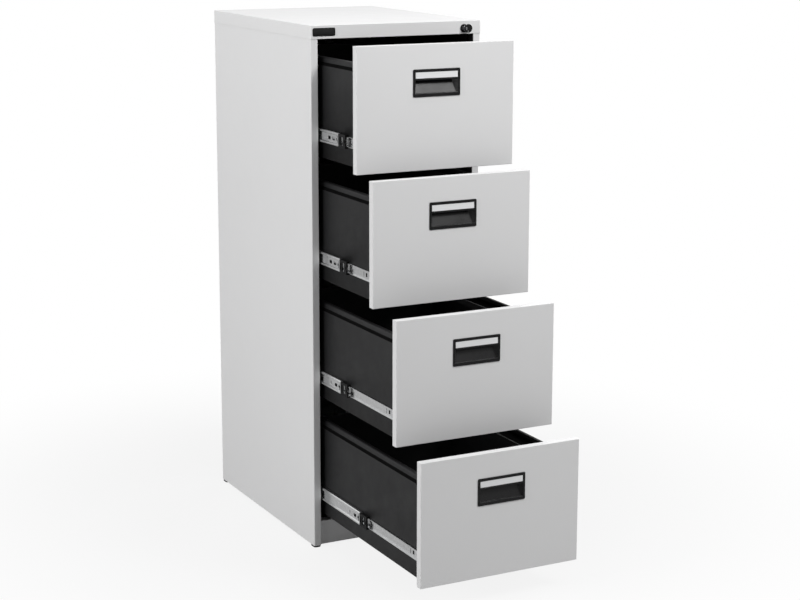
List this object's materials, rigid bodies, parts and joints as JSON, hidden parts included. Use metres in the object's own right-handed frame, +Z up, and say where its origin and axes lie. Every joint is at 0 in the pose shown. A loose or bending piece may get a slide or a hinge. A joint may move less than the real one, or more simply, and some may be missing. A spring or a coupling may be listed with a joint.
{
  "type": "four-drawer filing cabinet",
  "caption": "Upright sheet-steel filing cabinet with stacked drawers part open on telescopic ball slides, recessed cup handles and a key lock that drops a hooked bar.",
  "frame": {"origin": "on the floor, in the middle of the cabinet's footprint", "axes": "+X to the cabinet's right as seen from the front, +Y to the back, +Z up; drawers open along -Y"},
  "size_m": [0.47, 1.1569, 1.321],
  "materials": {
    "light_paint": "satin powder coat",
    "black_paint": "satin powder coat",
    "black_plastic": "moulded, fine texture",
    "card": "matte",
    "chrome": "polished",
    "black_lock": "gloss",
    "zinc": "bright zinc plate"
  },
  "bodies": {
    "cabinet": {"side_panel_left": "light_paint", "side_panel_right": "light_paint", "back_panel": "light_paint", "back_screws": "zinc", "top_cover": "light_paint", "top_front_rail": "black_paint", "plinth_panel": "light_paint", "base_pan": "black_paint", "slide_uprights": "black_paint", "corner_feet": "black_plastic", "badge_plate": "black_plastic", "lock_housing": "black_lock", "lock_nut": "zinc", "lock_bar_guides": "zinc", "outer_slides": "zinc"},
    "middle_1": {"middle_slides_1": "zinc", "slide_bumpers_1": "black_plastic"},
    "drawer_1": {"drawer_front_1": "light_paint", "drawer_handle_1": "black_plastic", "drawer_label_card_1": "card", "drawer_tray_1": "black_paint", "drawer_file_bar_1": "black_paint", "inner_slides_1": "zinc"},
    "outer_cages_1": {"outer_ball_cages_1": "zinc"},
    "inner_cages_1": {"inner_ball_cages_1": "zinc"},
    "middle_2": {"middle_slides_2": "zinc", "slide_bumpers_2": "black_plastic"},
    "drawer_2": {"drawer_front_2": "light_paint", "drawer_handle_2": "black_plastic", "drawer_label_card_2": "card", "drawer_tray_2": "black_paint", "drawer_file_bar_2": "black_paint", "inner_slides_2": "zinc"},
    "outer_cages_2": {"outer_ball_cages_2": "zinc"},
    "inner_cages_2": {"inner_ball_cages_2": "zinc"},
    "middle_3": {"middle_slides_3": "zinc", "slide_bumpers_3": "black_plastic"},
    "drawer_3": {"drawer_front_3": "light_paint", "drawer_handle_3": "black_plastic", "drawer_label_card_3": "card", "drawer_tray_3": "black_paint", "drawer_file_bar_3": "black_paint", "inner_slides_3": "zinc"},
    "outer_cages_3": {"outer_ball_cages_3": "zinc"},
    "inner_cages_3": {"inner_ball_cages_3": "zinc"},
    "middle_4": {"middle_slides_4": "zinc", "slide_bumpers_4": "black_plastic"},
    "drawer_4": {"drawer_front_4": "light_paint", "drawer_handle_4": "black_plastic", "drawer_label_card_4": "card", "drawer_tray_4": "black_paint", "drawer_file_bar_4": "black_paint", "inner_slides_4": "zinc"},
    "outer_cages_4": {"outer_ball_cages_4": "zinc"},
    "inner_cages_4": {"inner_ball_cages_4": "zinc"},
    "lock_cylinder": {"lock_plug": "chrome", "lock_cam": "zinc", "key": "chrome"},
    "key_head": {"key_head": "black_plastic"},
    "lock_bar": {"lock_bar": "zinc"}
  },
  "joints": [
    {"name": "middle_slide_1", "type": "slide", "parent": "cabinet", "child": "middle_1", "axis": [0, -1, 0], "range_m": [-0.167, 0.113]},
    {"name": "drawer_slide_1", "type": "slide", "parent": "middle_1", "child": "drawer_1", "axis": [0, -1, 0], "range_m": [-0.039, 0.241]},
    {"name": "outer_cage_slide_1", "type": "slide", "parent": "cabinet", "child": "outer_cages_1", "axis": [0, -1, 0], "range_m": [-0.0835, 0.0565]},
    {"name": "inner_cage_slide_1", "type": "slide", "parent": "middle_1", "child": "inner_cages_1", "axis": [0, -1, 0], "range_m": [-0.0195, 0.1205]},
    {"name": "middle_slide_2", "type": "slide", "parent": "cabinet", "child": "middle_2", "axis": [0, -1, 0], "range_m": [-0.171, 0.109]},
    {"name": "drawer_slide_2", "type": "slide", "parent": "middle_2", "child": "drawer_2", "axis": [0, -1, 0], "range_m": [-0.12, 0.16]},
    {"name": "outer_cage_slide_2", "type": "slide", "parent": "cabinet", "child": "outer_cages_2", "axis": [0, -1, 0], "range_m": [-0.0855, 0.0545]},
    {"name": "inner_cage_slide_2", "type": "slide", "parent": "middle_2", "child": "inner_cages_2", "axis": [0, -1, 0], "range_m": [-0.06, 0.08]},
    {"name": "middle_slide_3", "type": "slide", "parent": "cabinet", "child": "middle_3", "axis": [0, -1, 0], "range_m": [-0.173, 0.107]},
    {"name": "drawer_slide_3", "type": "slide", "parent": "middle_3", "child": "drawer_3", "axis": [0, -1, 0], "range_m": [-0.238, 0.042]},
    {"name": "outer_cage_slide_3", "type": "slide", "parent": "cabinet", "child": "outer_cages_3", "axis": [0, -1, 0], "range_m": [-0.0865, 0.0535]},
    {"name": "inner_cage_slide_3", "type": "slide", "parent": "middle_3", "child": "inner_cages_3", "axis": [0, -1, 0], "range_m": [-0.119, 0.021]},
    {"name": "middle_slide_4", "type": "slide", "parent": "cabinet", "child": "middle_4", "axis": [0, -1, 0], "range_m": [-0.277, 0.003]},
    {"name": "drawer_slide_4", "type": "slide", "parent": "middle_4", "child": "drawer_4", "axis": [0, -1, 0], "range_m": [-0.257, 0.023]},
    {"name": "outer_cage_slide_4", "type": "slide", "parent": "cabinet", "child": "outer_cages_4", "axis": [0, -1, 0], "range_m": [-0.1385, 0.0015]},
    {"name": "inner_cage_slide_4", "type": "slide", "parent": "middle_4", "child": "inner_cages_4", "axis": [0, -1, 0], "range_m": [-0.1285, 0.0115]},
    {"name": "lock_turn", "type": "hinge", "parent": "cabinet", "child": "lock_cylinder", "pos_m": [0.1874, -0.3132, 1.302], "axis": [0, 1, 0], "range_deg": [0, 90]},
    {"name": "key_fold", "type": "hinge", "parent": "lock_cylinder", "child": "key_head", "pos_m": [0.1874, -0.3238, 1.302], "axis": [0, 0, 1], "range_deg": [-90, 0]},
    {"name": "lock_bar_drop", "type": "slide", "parent": "cabinet", "child": "lock_bar", "axis": [0, 0, -1], "range_m": [0, 0.01414]}
  ],
  "couplings": [
    {"joint": "outer_cage_slide_1", "follows": "middle_slide_1", "ratio": 0.5},
    {"joint": "inner_cage_slide_1", "follows": "drawer_slide_1", "ratio": 0.5},
    {"joint": "outer_cage_slide_2", "follows": "middle_slide_2", "ratio": 0.5},
    {"joint": "inner_cage_slide_2", "follows": "drawer_slide_2", "ratio": 0.5},
    {"joint": "outer_cage_slide_3", "follows": "middle_slide_3", "ratio": 0.5},
    {"joint": "inner_cage_slide_3", "follows": "drawer_slide_3", "ratio": 0.5},
    {"joint": "outer_cage_slide_4", "follows": "middle_slide_4", "ratio": 0.5},
    {"joint": "inner_cage_slide_4", "follows": "drawer_slide_4", "ratio": 0.5},
    {"joint": "lock_turn", "follows": "lock_bar_drop", "rad_per_m": 111.09}
  ]
}
